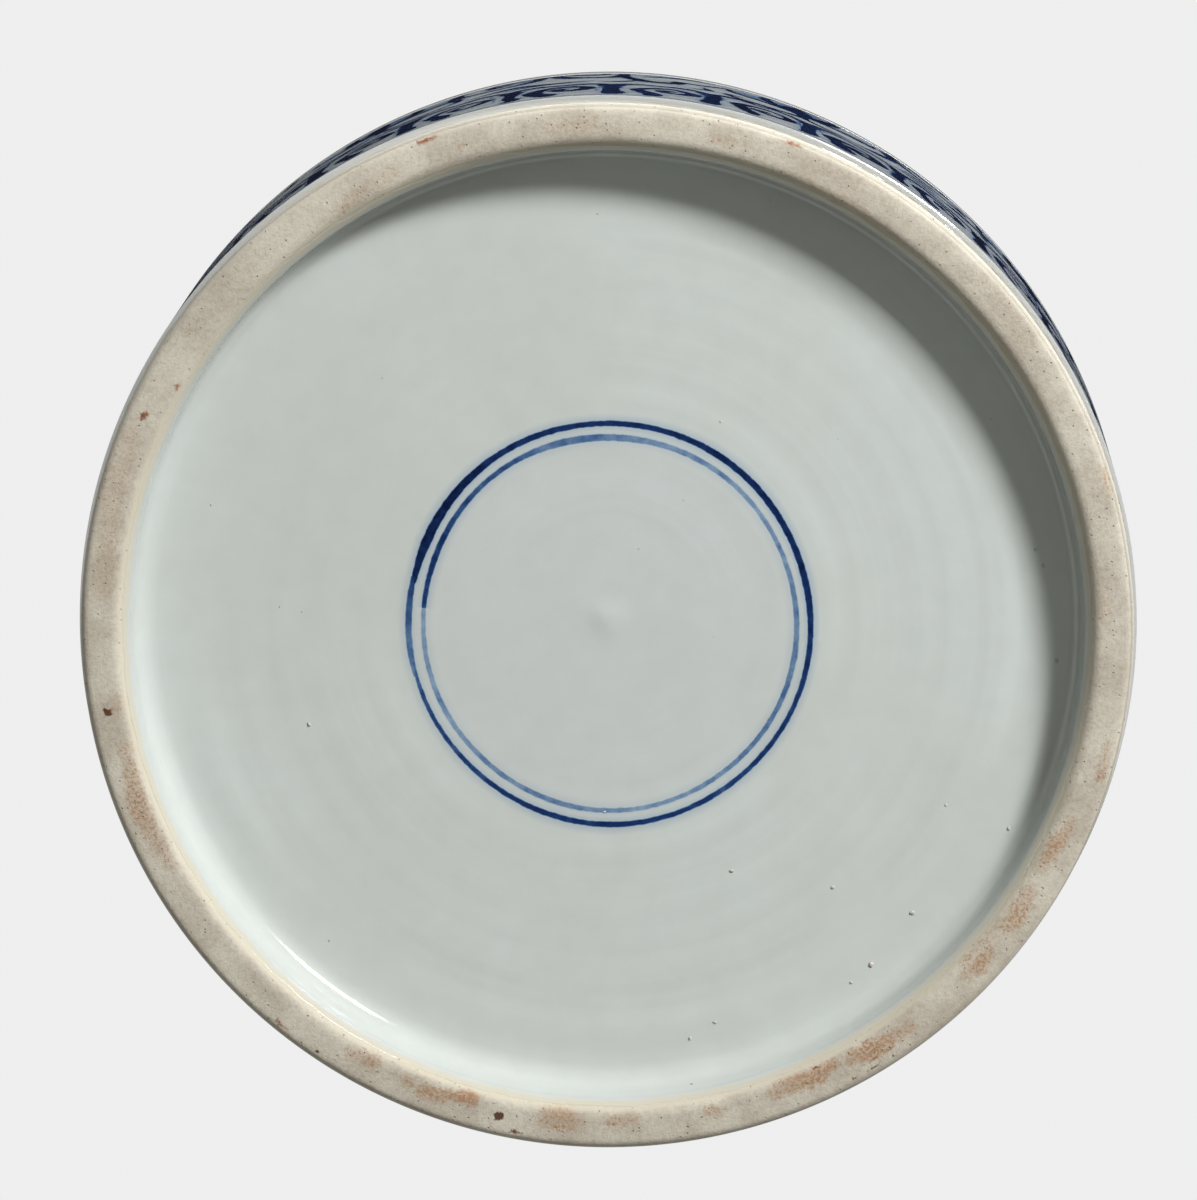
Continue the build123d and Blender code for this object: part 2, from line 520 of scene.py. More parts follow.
# Stains on the standing ring: iron specks that the fire drew out of the clay, marks from the kiln
# shelf, and dirt rubbed into the grain. Rows are degrees round from +X by way of -Y, radius, width
# and strength: a weak one is a cloud of tan dots, a strong one a dark spot.
stains = [
    [(2.6, 55.2, 1, 0.22), (1.4, 55, 1.2, 0.22)],
    [(17.6, 57.7, 0.5, 0.3), (15.4, 57.7, 0.5, 0.25)],
    [(66, 54.2, 0.4, 0.2), (58, 54.2, 0.5, 0.24)],
    [(70.6, 57.5, 0.1, 0.7), (69.6, 57.5, 0.25, 0.75), (68.3, 57.5, 0.15, 0.7)],
    [(77.4, 55.6, 0.8, 0.28), (75.6, 55.4, 0.7, 0.26)],
    [(97, 55.8, 1, 0.16), (92, 55.7, 1.4, 0.18)],
    [(107, 55.7, 0.3, 0.5), (106.8, 55.8, 0.3, 0.5)],
    [(111.4, 57.4, 0.1, 0.7), (110.6, 57.5, 0.25, 0.75), (109.4, 57.4, 0.1, 0.7)],
    [(122.4, 54.8, 0.9, 0.2), (120.2, 55.2, 0.7, 0.2), (115, 55.8, 1.4, 0.18)],
    [(151.2, 54.4, 0.3, 0.7), (150.8, 54.3, 0.25, 0.7)],
    [(155.8, 56.4, 0.6, 0.85), (155.4, 56.2, 0.4, 0.8)],
    [(176, 56.2, 2, 0.16), (166, 56.5, 2.2, 0.18), (158, 56.6, 2, 0.16)],
    [(190.4, 56.2, 0.5, 1), (190, 56.6, 0.8, 1)],
    [(189.6, 55.4, 1.2, 0.24), (188.6, 55.2, 0.8, 0.2)],
    [(194.4, 55.4, 1, 0.26), (198, 55.7, 1.6, 0.34), (202, 56.1, 2, 0.38), (209, 55.8, 1.4, 0.24)],
    [(230.4, 57.8, 0.3, 0.8), (232, 57.9, 0.3, 0.8)],
    [(235.9, 57.9, 0.5, 1), (236.2, 57.9, 0.3, 1)],
    [(239.4, 56, 1.2, 0.26), (242, 55.8, 1.6, 0.34)],
    [(241.9, 56.2, 0.5, 0.6), (241.6, 56.3, 0.4, 0.6)],
    [(246.4, 56, 0.8, 0.42), (247, 56.2, 0.6, 0.36)],
    [(248.6, 56.4, 1.4, 0.42), (250.6, 56.2, 1.2, 0.42), (252, 55.8, 1, 0.46), (254, 55.4, 1.6, 0.5)],
    [(257.6, 56.6, 1, 1), (257.9, 56.6, 0.7, 1)],
    [(256.8, 57.9, 0.2, 0.9), (257.3, 57.9, 0.2, 0.9)],
    [(259.4, 57.9, 0.3, 0.9), (260.6, 58, 0.2, 0.9)],
    [(264.2, 57.9, 0.3, 1), (264.6, 57.9, 0.2, 1)],
    [(262.6, 55.9, 1.6, 0.26), (264.8, 55.9, 2.6, 0.36), (266.6, 56, 1.4, 0.26)],
    [(263.4, 53.9, 0.3, 0.4), (266, 53.9, 0.3, 0.4), (274, 54, 0.3, 0.4), (278, 53.9, 0.3, 0.4)],
    [(270.4, 55.9, 1.4, 0.3), (273, 55.6, 1.2, 0.24)],
    [(281.4, 55.8, 0.8, 0.34), (283.4, 56.1, 0.7, 0.3)],
    [(289.6, 55.8, 1.4, 0.32), (292, 55.6, 1.8, 0.4), (294.8, 55.8, 1.8, 0.46), (297.2, 55.4, 1, 0.42)],
    [(295.2, 54.7, 0.3, 1), (295.3, 54.6, 0.3, 1)],
    [(302, 54.6, 0.25, 0.9), (302.2, 54.5, 0.25, 0.9)],
    [(299.4, 55.8, 1.4, 0.38), (301.4, 56.1, 2, 0.48), (303.6, 56.2, 1.6, 0.42), (307, 56.4, 1, 0.28)],
    [(298.2, 57.8, 0.3, 1), (298.8, 57.8, 0.2, 1)],
    [(300.2, 57.9, 0.2, 0.9), (301.4, 57.8, 0.3, 1)],
    [(303.2, 57.9, 0.3, 1), (303.8, 57.9, 0.2, 1)],
    [(315.4, 56, 1, 0.28), (317.6, 56.2, 1.8, 0.44), (319.4, 55.9, 1.2, 0.32)],
    [(316.6, 55, 1.2, 0.26), (321, 54.9, 0.9, 0.22)],
    [(322.4, 55.6, 1.6, 0.28), (324.2, 56, 2, 0.4), (327.6, 55.6, 1.6, 0.3)],
    [(330.6, 55.4, 0.9, 0.28), (333.6, 55.6, 1.5, 0.44), (337, 56.1, 0.9, 0.28)],
    [(342.6, 57.4, 0.4, 0.6), (344, 57.2, 0.8, 0.32), (346.6, 57.1, 0.8, 0.24)],
]


def on_ring(rows):
    """A stain on the standing ring, from degrees round the box, radius, width and strength."""
    rows = np.array(rows, float)
    x = rows[:, 1] * np.cos(np.radians(-rows[:, 0])) - ring_shift[0]
    y = rows[:, 1] * np.sin(np.radians(-rows[:, 0])) - ring_shift[1]
    return np.insert(brushed(np.stack([x, y, rows[:, 2], rows[:, 3]], 1), 0.4), 2, 0.05, axis=1)


rust = [on_ring(rows) for rows in stains]

bare_foot = (
    place_on_outline(body_outline, foot_inner_radius + 0.4 * foot_bevel, 0.5 * foot_bevel),
    place_on_outline(body_outline, foot_radius, glaze_line_height),
)
bare_seat = (
    place_on_outline(body_outline, body_radius, joint_height),
    place_on_outline(body_outline, inside_radius, spigot_top - 2.0),
)
body_shape = as_turned(as_thrown(with_throwing_rings(body_points)))
box_body = skin("box_body", body_shape, skin_faces(body_rings[2]))
layers = {"line": strokes, "wash": washes, "rust": rust}
decorate(box_body, body_points, layers, inside_glaze(along_skin(body_rings), [bare_foot, bare_seat]))


def node(tree, kind, inputs=None, **settings):
    """A new shader node with its settings, and each input given a value or fed by an output."""
    made = tree.nodes.new("ShaderNode" + kind)
    for name, value in settings.items():
        setattr(made, name, value)
    for key, value in (inputs or {}).items():
        if isinstance(value, bpy.types.NodeSocket):
            tree.links.new(value, made.inputs[key])
        else:
            made.inputs[key].default_value = value
    return made


def joined(kind, inputs, **settings):
    """A new shader node in the tree of the first output that feeds it."""
    tree = next(value.id_data for value in inputs.values() if isinstance(value, bpy.types.NodeSocket))
    return node(tree, kind, inputs, **settings)


def maths(operation):
    """A function that adds a Math node of one kind and gives its output."""
    return lambda *values: joined("Math", dict(enumerate(values)), operation=operation).outputs[0]


plus, minus, times = maths("ADD"), maths("SUBTRACT"), maths("MULTIPLY")
scaled, larger, smaller = maths("MULTIPLY_ADD"), maths("MAXIMUM"), maths("MINIMUM")


def between(value, low, high):
    """0 below low, 1 above high, and smooth in between."""
    inputs = {"Value": value, "From Min": low, "From Max": high}
    return joined("MapRange", inputs, interpolation_type="SMOOTHSTEP").outputs[0]


def mixed(share, first, second, blend="MIX"):
    """The colour between two colours."""
    return joined("MixRGB", {0: share, 1: first, 2: second}, blend_type=blend).outputs[0]


def kept(tree, name):
    """A number kept for each point of the piece."""
    return node(tree, "Attribute", attribute_name=name).outputs["Fac"]


def in_mm(tree):
    """The place on the piece in millimetres."""
    place = node(tree, "TexCoord").outputs["Object"]
    return node(tree, "VectorMath", {0: place, "Scale": 1 / mm}, operation="SCALE").outputs[0]


def part_of(vector, axis):
    """One of the three numbers of a place or a colour."""
    return joined("SeparateXYZ", {0: vector}).outputs[axis]


def from_axis(place):
    """How far a place lies from the box's axis."""
    across = joined("VectorMath", {0: place, 1: (1, 1, 0)}, operation="MULTIPLY").outputs[0]
    return joined("VectorMath", {0: across}, operation="LENGTH").outputs["Value"]


def wheel_marks(gap, often):
    """Noise in even rings round the axis, as the turning wheel leaves it."""
    inputs = {"W": gap, "Scale": often, "Detail": 4.0}
    return joined("TexNoise", inputs, noise_dimensions="1D").outputs["Fac"]


def noise(place, size, detail=3.0, roughness=0.5):
    """Soft noise whose lumps are about size millimetres across."""
    inputs = {"Vector": place, "Scale": 1 / size, "Detail": detail, "Roughness": roughness}
    return joined("TexNoise", inputs).outputs["Fac"]


def new_group(name, **inputs):
    """A shader node group with an input of each name and value, and what these inputs feed."""
    group = bpy.data.node_groups.new(name, "ShaderNodeTree")
    for socket, value in inputs.items():
        kind = "NodeSocketColor" if isinstance(value, tuple) else "NodeSocketFloat"
        made = group.interface.new_socket(socket, in_out="INPUT", socket_type=kind)
        made.default_value = value
    return group, group.nodes.new("NodeGroupInput").outputs


def give_out(group, **results):
    """Ends a node group with its colour, and its relief if it has one."""
    ending = group.nodes.new("NodeGroupOutput")
    for socket, value in results.items():
        kind = "NodeSocketColor" if socket == "colour" else "NodeSocketFloat"
        group.interface.new_socket(socket, in_out="OUTPUT", socket_type=kind)
        group.links.new(value, ending.inputs[socket])


def new_finish(name):
    """An empty material and its node tree."""
    finish = bpy.data.materials.new(name)
    finish.use_nodes = True
    finish.node_tree.nodes.clear()
    return finish, finish.node_tree


def coat(tree, colour, rough, height=None):
    """Gives a material its colour, its roughness and its relief in millimetres."""
    inputs = {"Base Color": colour, "Roughness": rough}
    if height is not None:
        bump = node(tree, "Bump", {"Height": height, "Distance": mm, "Strength": 1.0})
        inputs["Normal"] = bump.outputs[0]
    shader = node(tree, "BsdfPrincipled", inputs)
    node(tree, "OutputMaterial", {"Surface": shader.outputs[0]})


# Cobalt under the glaze: dark where the brush was full, paler and streaky where it ran dry, with a
# soft blue bleed round each stroke.
cobalt, given = new_group(
    "cobalt_painting", glaze=(0.6, 0.63, 0.6, 1), line_reach=-1, line_load=0, wash_reach=-1, wash_load=0
)
place = in_mm(cobalt)
ragged = scaled(noise(place, 0.7, 4), 0.2, -0.08)
reach = plus(given["line_reach"], ragged)
solid = between(reach, -0.12, 0.1)
bleed = times(between(reach, -1.1, 0.1), 0.13)
streaks = scaled(noise(place, 1.5, 5, 0.62), 0.8, -0.46)
held = plus(given["line_load"], times(streaks, 0.75))
depth = times(solid, larger(held, 0.15))
depth = larger(depth, times(bleed, given["line_load"]))
washed = between(plus(given["wash_reach"], ragged), -0.3, 0.3)
pooled = plus(given["wash_load"], times(streaks, 0.3))
depth = larger(depth, times(washed, pooled))
tones = node(cobalt, "ValToRGB", {"Fac": depth})
ramp = tones.color_ramp.elements
ramp[0].color, ramp[1].color = (1, 1, 1, 1), (0.006, 0.016, 0.075, 1)
for spot, tone in ((0.25, (0.41, 0.56, 0.8)), (0.5, (0.11, 0.22, 0.48)), (0.75, (0.022, 0.062, 0.235))):
    ramp.new(spot).color = (*tone, 1)
give_out(cobalt, colour=mixed(1.0, given["glaze"], tones.outputs["Color"], "MULTIPLY"))

# Unglazed porcelain: cream where it is clean, greyer where it has stood and been rubbed, with
# pinholes and a tight grain.
bare_clay, given = new_group("bare_clay", rust_reach=-1, rust_load=0)
place = in_mm(bare_clay)
standing = between(part_of(place, "Z"), 0.5, 0.02)
blotches = between(noise(place, 8, 5, 0.62), 0.38, 0.64)
dust = between(noise(place, 0.55, 6, 0.75), 0.4, 0.72)
turned = wheel_marks(from_axis(place), 2.2)
soil = scaled(blotches, 0.55, times(dust, 0.5))
soil = plus(soil, scaled(turned, 0.1, -0.05))
soil = times(soil, scaled(standing, 0.65, 0.35))
tone = mixed(soil, (0.635, 0.594, 0.5, 1), (0.4, 0.342, 0.27, 1))
cells = node(bare_clay, "TexVoronoi", {"Vector": place, "Scale": 1.3})
hole = between(cells.outputs["Distance"], 0.17, 0.07)
few = between(part_of(cells.outputs["Color"], "X"), 0.35, 0.65)
hole = times(hole, few)
tone = mixed(times(hole, 0.5), tone, (0.16, 0.12, 0.08, 1))
strength = given["rust_load"]
patchy = scaled(noise(place, 1.1, 7, 0.8), 3.0, -1.5)
patchy = times(patchy, scaled(strength, -0.65, 1.0))
fading = scaled(strength, 0.75, -0.85)
burnt = plus(given["rust_reach"], patchy)
burnt = between(burnt, fading, scaled(strength, -0.4, 0.5))
rarest = scaled(strength, -0.35, 0.6)
dots = between(noise(place, 0.36, 4, 0.7), rarest, plus(rarest, 0.1))
haze = scaled(dots, 0.6, times(strength, 0.85))
burnt = smaller(times(burnt, haze), 1.0)
iron = mixed(between(strength, 0.4, 0.75), (0.4, 0.235, 0.125, 1), (0.28, 0.1, 0.042, 1))
iron = mixed(between(strength, 0.75, 1.0), iron, (0.1, 0.045, 0.02, 1))
tone = mixed(burnt, tone, iron)
grain = times(noise(place, 0.3, 4, 0.6), 0.05)
give_out(bare_clay, colour=tone, height=scaled(hole, -0.08, scaled(turned, 0.006, grain)))

# Clear glaze with a cool tint: bluer where it is thick, with a few dark specks and a skin that is
# never quite even.
clear_glaze, given = new_group("clear_glaze", reach=50)
place = in_mm(clear_glaze)
thick = between(noise(place, 26, 3, 0.5), 0.36, 0.66)
tone = mixed(thick, (0.582, 0.614, 0.583, 1), (0.598, 0.638, 0.614, 1))
gap = from_axis(place)
pooled = times(between(gap, 24, 15), 0.75)
tone = mixed(pooled, tone, (0.582, 0.616, 0.616, 1))
outside = larger(between(gap, 56.6, 58), between(part_of(place, "Z"), 43, 46))
tone = mixed(times(outside, 0.8), tone, (0.575, 0.622, 0.66, 1))
near_edge = times(between(given["reach"], 3.2, 0.6), 0.6)
tone = mixed(near_edge, tone, (0.555, 0.59, 0.61, 1))
patches = between(noise(place, 30, 2), 0.4, 0.65)
wheel = times(minus(wheel_marks(gap, 0.3), 0.5), patches)
fine = scaled(noise(place, 3.5, 4, 0.6), 0.1, 0.95)
fine = plus(fine, times(wheel, 0.16))
fine = joined("CombineXYZ", {0: fine, 1: fine, 2: fine}).outputs[0]
tone = mixed(1.0, tone, fine, "MULTIPLY")
cells = node(clear_glaze, "TexVoronoi", {"Vector": place, "Scale": 0.21})
chance = node(clear_glaze, "SeparateXYZ", {0: cells.outputs["Color"]})
size = times(chance.outputs["X"], 0.046)
speck = between(minus(size, cells.outputs["Distance"]), 0, 0.012)
speck = times(speck, times(chance.outputs["Y"], 0.8))
tone = mixed(speck, tone, (0.13, 0.09, 0.05, 1))
waves = times(noise(place, 5, 2), 0.035)
give_out(clear_glaze, colour=tone, height=scaled(noise(place, 0.9, 3), 0.004, waves))

porcelain, tree = new_finish("painted_porcelain")
place = in_mm(tree)
wander = scaled(noise(place, 3.2, 4, 0.6), 0.9, -0.45)
edge = plus(kept(tree, "glaze_reach"), wander)
glazed = between(edge, -0.1, 0.12)
glaze = node(tree, "Group", {"reach": edge}, node_tree=clear_glaze).outputs
painting = {name: kept(tree, name) for name in ("line_reach", "line_load", "wash_reach", "wash_load")}
paint = node(tree, "Group", {"glaze": glaze["colour"], **painting}, node_tree=cobalt).outputs
staining = {name: kept(tree, name) for name in ("rust_reach", "rust_load")}
clay = node(tree, "Group", staining, node_tree=bare_clay).outputs
colour = mixed(glazed, clay["colour"], paint["colour"])
thin = times(between(edge, -0.9, -0.1), between(edge, 1.3, 0.6))
tinted = scaled(between(from_axis(place), 56.0, 54.5), 0.3, 0.35)
colour = mixed(times(thin, tinted), colour, (0.61, 0.55, 0.41, 1))
scorch = times(between(edge, -0.3, 0), between(edge, 0.2, 0))
scorch = times(scorch, between(noise(place, 2.2, 4, 0.6), 0.48, 0.7))
colour = mixed(times(scorch, 0.16), colour, (0.4, 0.25, 0.12, 1))
rough = scaled(glazed, -0.7, 0.8)
rough = scaled(noise(place, 7, 4), 0.06, minus(rough, 0.03))
height = times(glazed, 0.06)
height = plus(height, times(glazed, glaze["height"]))
height = plus(height, times(minus(1.0, glazed), clay["height"]))
coat(tree, colour, rough, height)
box_body.data.materials.append(porcelain)
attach(box_body, "body")
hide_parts("box_base")

# Kiln grit
# Crumbs of sand and shelf wash that fell on the glaze while it was molten, and stayed in it. They
# are the same white clay, and sit half sunk in the glaze of the recess.
grit_places = [
    (-44.2, -12.6, 0.22), (-36.6, -1.2, 0.18), (47.6, -7.8, 0.3), (48.4, -6.0, 0.25), (50.0, 4.7, 0.3),
    (9.2, 47.3, 0.35), (11.9, 45.5, 0.25), (12.5, -22.0, 0.15), (-0.4, 21.8, 0.2), (13.8, 28.4, 0.3),
    (25.1, 30.2, 0.25), (34.0, 33.1, 0.35), (29.4, 39.0, 0.35), (27.2, 41.0, 0.25), (44.7, 23.6, 0.3),
    (44.3, 29.4, 0.3), (37.7, 20.9, 0.25), (46.1, 26.3, 0.2), (-33.4, 12.0, 0.25), (-31.2, 36.4, 0.2),
]
crumb_radius = 0.8
crumbs = bmesh.new()
for x, y, size in grit_places:
    crumb = bmesh.ops.create_icosphere(crumbs, subdivisions=2, radius=crumb_radius * size * mm)["verts"]
    squash = hand.uniform(0.7, 1.3, 2)
    for vertex in crumb:
        lump = 1 + 0.5 * soft_noise.noise(vertex.co / mm * 2.4 + Vector((x, y, 0)))
        vertex.co = Vector((vertex.co.x * squash[0], vertex.co.y * squash[1], vertex.co.z * 0.8)) * lump
        vertex.co += Vector((x, y, recess_depth + 0.05)) * mm
grit_mesh = bpy.data.meshes.new("kiln_grit")
crumbs.to_mesh(grit_mesh)
crumbs.free()
grit_mesh.shade_smooth()
kiln_grit = in_scene("kiln_grit", grit_mesh)
grit_finish, tree = new_finish("sintered_grit")
place = in_mm(tree)
colour = mixed(noise(place, 0.4, 4), (0.66, 0.67, 0.63, 1), (0.34, 0.29, 0.22, 1))
coat(tree, colour, scaled(noise(place, 0.3), 0.3, 0.2))
grit_mesh.materials.append(grit_finish)
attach(kiln_grit, "body")

# Seal paste
# Ground cinnabar, castor oil and fibre, worked into a stiff vermilion mass. It is lifted into the
# box with a spatula, folded over itself and stirred up to a mound that a seal is pressed on.
paste_low, paste_high = (np.array(corner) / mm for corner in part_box("seal_paste"))
paste_radius = paste_high[0]
paste_floor, paste_top = paste_low[2], paste_high[2]
paste_crown_rise = 12.0
paste_shoulder = 8.0
paste_belly = 7.0


def dome_line(radius, side_top, shoulder, top):
    """The outline of a dome, from the top of its upright side over the shoulder to the middle."""
    reach, rise = radius - shoulder, top - side_top
    crown = (reach**2 + rise**2 - shoulder**2) / (rise - shoulder) / 2
    bend = acos(reach / (crown - shoulder))
    meet = (reach + shoulder * cos(bend), side_top + shoulder * sin(bend))
    over = turning(np.array((reach, side_top)), (radius, side_top), meet)
    return np.concatenate([over, turning(np.array((0.0, top - crown)), meet, (0.0, top))[1:]])


def paste_spacing(radius, height):
    """How far apart the points of the paste lie: close on top, wide where it lies on the box."""
    return np.where(height > paste_floor + 5, 0.8, 2.5)


paste_side_top = paste_top - paste_crown_rise
belly = [(0, paste_floor, 0), (paste_radius, paste_floor, paste_belly), (paste_radius, paste_side_top, 0)]
belly = rounded(belly)
mound = dome_line(paste_radius, paste_side_top, paste_shoulder, paste_top)
paste_outline = closely(np.concatenate([belly[:-1], mound]))
paste_rings = rings_along(paste_outline, paste_spacing, most_around=384)
paste_points = skin_points(*paste_rings)


def stirred(points):
    """The paste's points pushed in from its smooth outline: folds that wind in to the middle, soft
    lumps, and the drag marks of the spatula."""
    radius, angle = round_axis(points)
    depth = np.zeros(len(points))
    for k, point in enumerate(points):
        place = Vector(point)
        bend = soft_noise.noise(place * 0.045) * 2.4
        winding = angle[k] * 2 + radius[k] * 0.21 + bend
        fold = 0.5 - 0.5 * cos(winding)
        lumps = 0.5 - 0.5 * soft_noise.noise(place * 0.12)
        drag = 0.5 + 0.5 * soft_noise.noise(Vector((winding * 2.2, radius[k] * 0.05, 3.0)))
        crease = max(0.0, cos(winding + 0.5)) ** 6
        depth[k] = 2.4 * fold**0.7 + 1.6 * lumps + 0.5 * drag + 1.5 * crease
        depth[k] += 0.35 * soft_noise.noise(place * 0.5) + 0.35
    open_top = np.clip((points[:, 2] - paste_floor - 7) / 5, 0, 1)
    moved = points.copy()
    moved[:, 2] -= depth * open_top
    return moved


paste_mound = skin("paste_mound", as_thrown(stirred(paste_points)), skin_faces(paste_rings[2]))
paste_finish, tree = new_finish("vermilion_paste")
place = in_mm(tree)
mottle = between(noise(place, 4, 5, 0.65), 0.3, 0.7)
colour = mixed(mottle, (0.46, 0.018, 0.006, 1), (0.62, 0.035, 0.01, 1))
weave = {"Vector": place, "Scale": 0.5, "Distortion": 9.0, "Detail": 4.0, "Detail Scale": 2.2}
fibre = between(node(tree, "TexWave", weave).outputs["Fac"], 0.55, 0.95)
colour = mixed(times(fibre, 0.2), colour, (0.7, 0.07, 0.025, 1))
oil = between(noise(place, 6, 4, 0.6), 0.42, 0.62)
grit = times(noise(place, 0.35, 4, 0.7), 0.09)
relief = scaled(fibre, 0.06, scaled(noise(place, 1.6, 4, 0.6), 0.25, grit))
coat(tree, colour, scaled(oil, -0.28, 0.5), relief)
paste_mound.data.materials.append(paste_finish)
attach(paste_mound, "body")
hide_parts("seal_paste")

# Cover
# One more thrown and turned piece of the same porcelain, painted and glazed with the body and
# fired on it. It lifts straight off, and its socket drops over the body's spigot.
cover_top = cover_high[2]
cover_side = 2.5
cover_side_top = joint_height + cover_side
cover_shoulder = 15.0
cover_thickness = 4.2
spigot_clearance = 0.5
spigot_head_room = 1.0
socket_radius = spigot_radius + spigot_clearance
socket_top = spigot_top + spigot_head_room


def cover_spacing(radius, height):
    """How far apart the points of the cover's skin may lie: least on its painted outside."""
    outside_height = np.interp(radius, *cover_outside[::-1].T)
    return np.where((height > outside_height - 1) | (radius > body_radius - 1), 0.55, 2.2)


cover_outside = closely(dome_line(body_radius, cover_side_top, cover_shoulder, cover_top))
vault_sizes = (size - cover_thickness for size in (body_radius, cover_shoulder, cover_top))
vault_radius, vault_shoulder, vault_top = vault_sizes
vault = closely(dome_line(vault_radius, cover_side_top, vault_shoulder, vault_top))
vault = vault[vault[:, 1] > socket_top][::-1]
rim = rounded([
    (vault[-1][0], socket_top, 0),
    (socket_radius, socket_top, 0),
    (socket_radius, joint_height, rim_round),
    (body_radius, joint_height, rim_round),
    (body_radius, cover_side_top, 0),
])
cover_outline = closely(np.concatenate([vault, rim[:-1], cover_outside]))
cover_rings = rings_along(cover_outline, cover_spacing)
cover_points = skin_points(*cover_rings)
dome_way = way_along(cover_outside[::-1])
dome_reach = dome_way[-1]


def on_cover(angle, out, width, load):
    """A stroke on the cover from angles round it and millimetres out from its middle, along it."""
    radius = np.interp(out, dome_way, cover_outside[::-1, 0])
    height = np.interp(out, dome_way, cover_outside[::-1, 1])
    return np.stack([radius * np.cos(angle), radius * np.sin(angle), height, width, load], 1)


def round_cover(line, turn, foot, across_scale, up_scale):
    """A stroke of a band bent round the cover, with its up turned towards the middle."""
    across, up, width, load = line.T
    return on_cover(turn - across * across_scale, foot - up * up_scale, width, load)


def cover_line(out, width, load):
    """A thin line all the way round the cover."""
    angle = np.linspace(0, 2 * pi, 180)
    sway = 0.05 * np.sin(3 * angle + out)
    return on_cover(angle, out + sway, width + 0.4 * sway, load + sway)


cover_lappets = 28
cover_lappet_foot = dome_reach - 2.6
lappet_scale = 2 * pi / cover_lappets / lappet_width
lappet_rise = 0.88
cover_strokes = [cover_line(out, width, load) for out, width, load in (
    (dome_reach - 1.2, 0.55, 0.7), (47.9, 0.7, 0.85), (46.6, 0.45, 0.6), (21.6, 0.45, 0.6), (20.3, 0.7, 0.85),
)]
for k in range(cover_lappets):
    turn = (k + 0.5) * 2 * pi / cover_lappets
    for places, load in lappet:
        line = by_hand(places, load=load, swing=0.18)
        cover_strokes.append(round_cover(line, turn, cover_lappet_foot, lappet_scale, lappet_rise))
cover_washes = []
wreath_repeats = 2
wreath_foot = 45.2
wreath_rise = 1.3
across_scale = 2 * pi / wreath_repeats / scroll_length
for turn in range(wreath_repeats):
    for across, vine in vines:
        start = (turn * scroll_length + across) * across_scale
        for places in blossom + vine:
            line = by_hand(places, load=0.95, swing=0.16)
            cover_strokes.append(round_cover(line, -start, wreath_foot, across_scale, wreath_rise))
        for places in leaf_fills:
            line = by_hand(places, load=0.34)
            cover_washes.append(round_cover(line, -start, wreath_foot, across_scale, wreath_rise))

# In the middle of the cover, a lotus seen from above.
petals = 8
petal_side = [(0.3, 4.4, 0.6), (2.7, 7.4, 1), (4, 11.4, 1.2), (2.4, 15.2, 1.2), (0, 17.6, 0.8)]
petal_vein = [(0, 7, 0.4), (0, 10, 1), (0, 13.4, 0.3)]
petal_hook = [(1.4, 9.2, 0.3), (1.9, 11.4, 0.7), (1.2, 13.4, 0.3)]
petal = [(petal_side, 1), (petal_side, -1), (petal_vein, 1), (petal_hook, -1), (petal_hook, 1)]
petal_fill = [(0, 6.4, 1.5), (0, 11.5, 6), (0, 15.6, 2.2)]


def from_middle(line, turn):
    """A stroke on the crown of the cover, turned about its middle."""
    x, y, width, load = line.T
    return on_cover(np.arctan2(y, x) + turn, np.hypot(x, y), width, load)


for k in range(petals):
    turn = 2 * pi * k / petals
    for places, way in petal:
        line = by_hand([(way * x, y, width) for x, y, width in places], load=0.92, swing=0.12)
        cover_strokes.append(from_middle(line, turn))
    cover_washes.append(from_middle(by_hand(petal_fill, load=0.36, swing=0.12), turn))
cover_strokes.append(cover_line(3.9, 0.9, 0.9))
seeds_round = 6
for k in range(seeds_round + 1):
    turn = 2 * pi * k / seeds_round
    out = 2.1 if k < seeds_round else 0
    seed = [(0.01, out, 0.9), (0.02, out + 0.3, 0.9)]
    cover_strokes.append(from_middle(by_hand(seed, load=0.9, swing=0.05), turn))

bare_rim = (
    place_on_outline(cover_outline, socket_radius, socket_top),
    place_on_outline(cover_outline, body_radius, joint_height),
)
box_lid = skin("box_lid", as_thrown(cover_points), skin_faces(cover_rings[2]))
layers = {"line": cover_strokes, "wash": cover_washes, "rust": []}
decorate(box_lid, cover_points, layers, inside_glaze(along_skin(cover_rings), [bare_rim]))
box_lid.data.materials.append(porcelain)
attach(box_lid, "cover")
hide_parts("box_cover")

# Floor, light and camera
# A pale floor with a hole where the box stands, so that light from below reaches the standing
# ring and its recess. The floor isn't seen from below, where the camera is. Two narrow rings close
# the gap to the foot and let part or all of the light through to its rounded edge.
floor_reach = 6000.0
floor_sides = 256
floor_gap = 1.6
edge_under_foot = 0.16
edge_lets_through = 0.5
lip_under_foot = 2.0
lip_drop = 0.03
pale_tone = (0.86, 0.86, 0.86, 1)


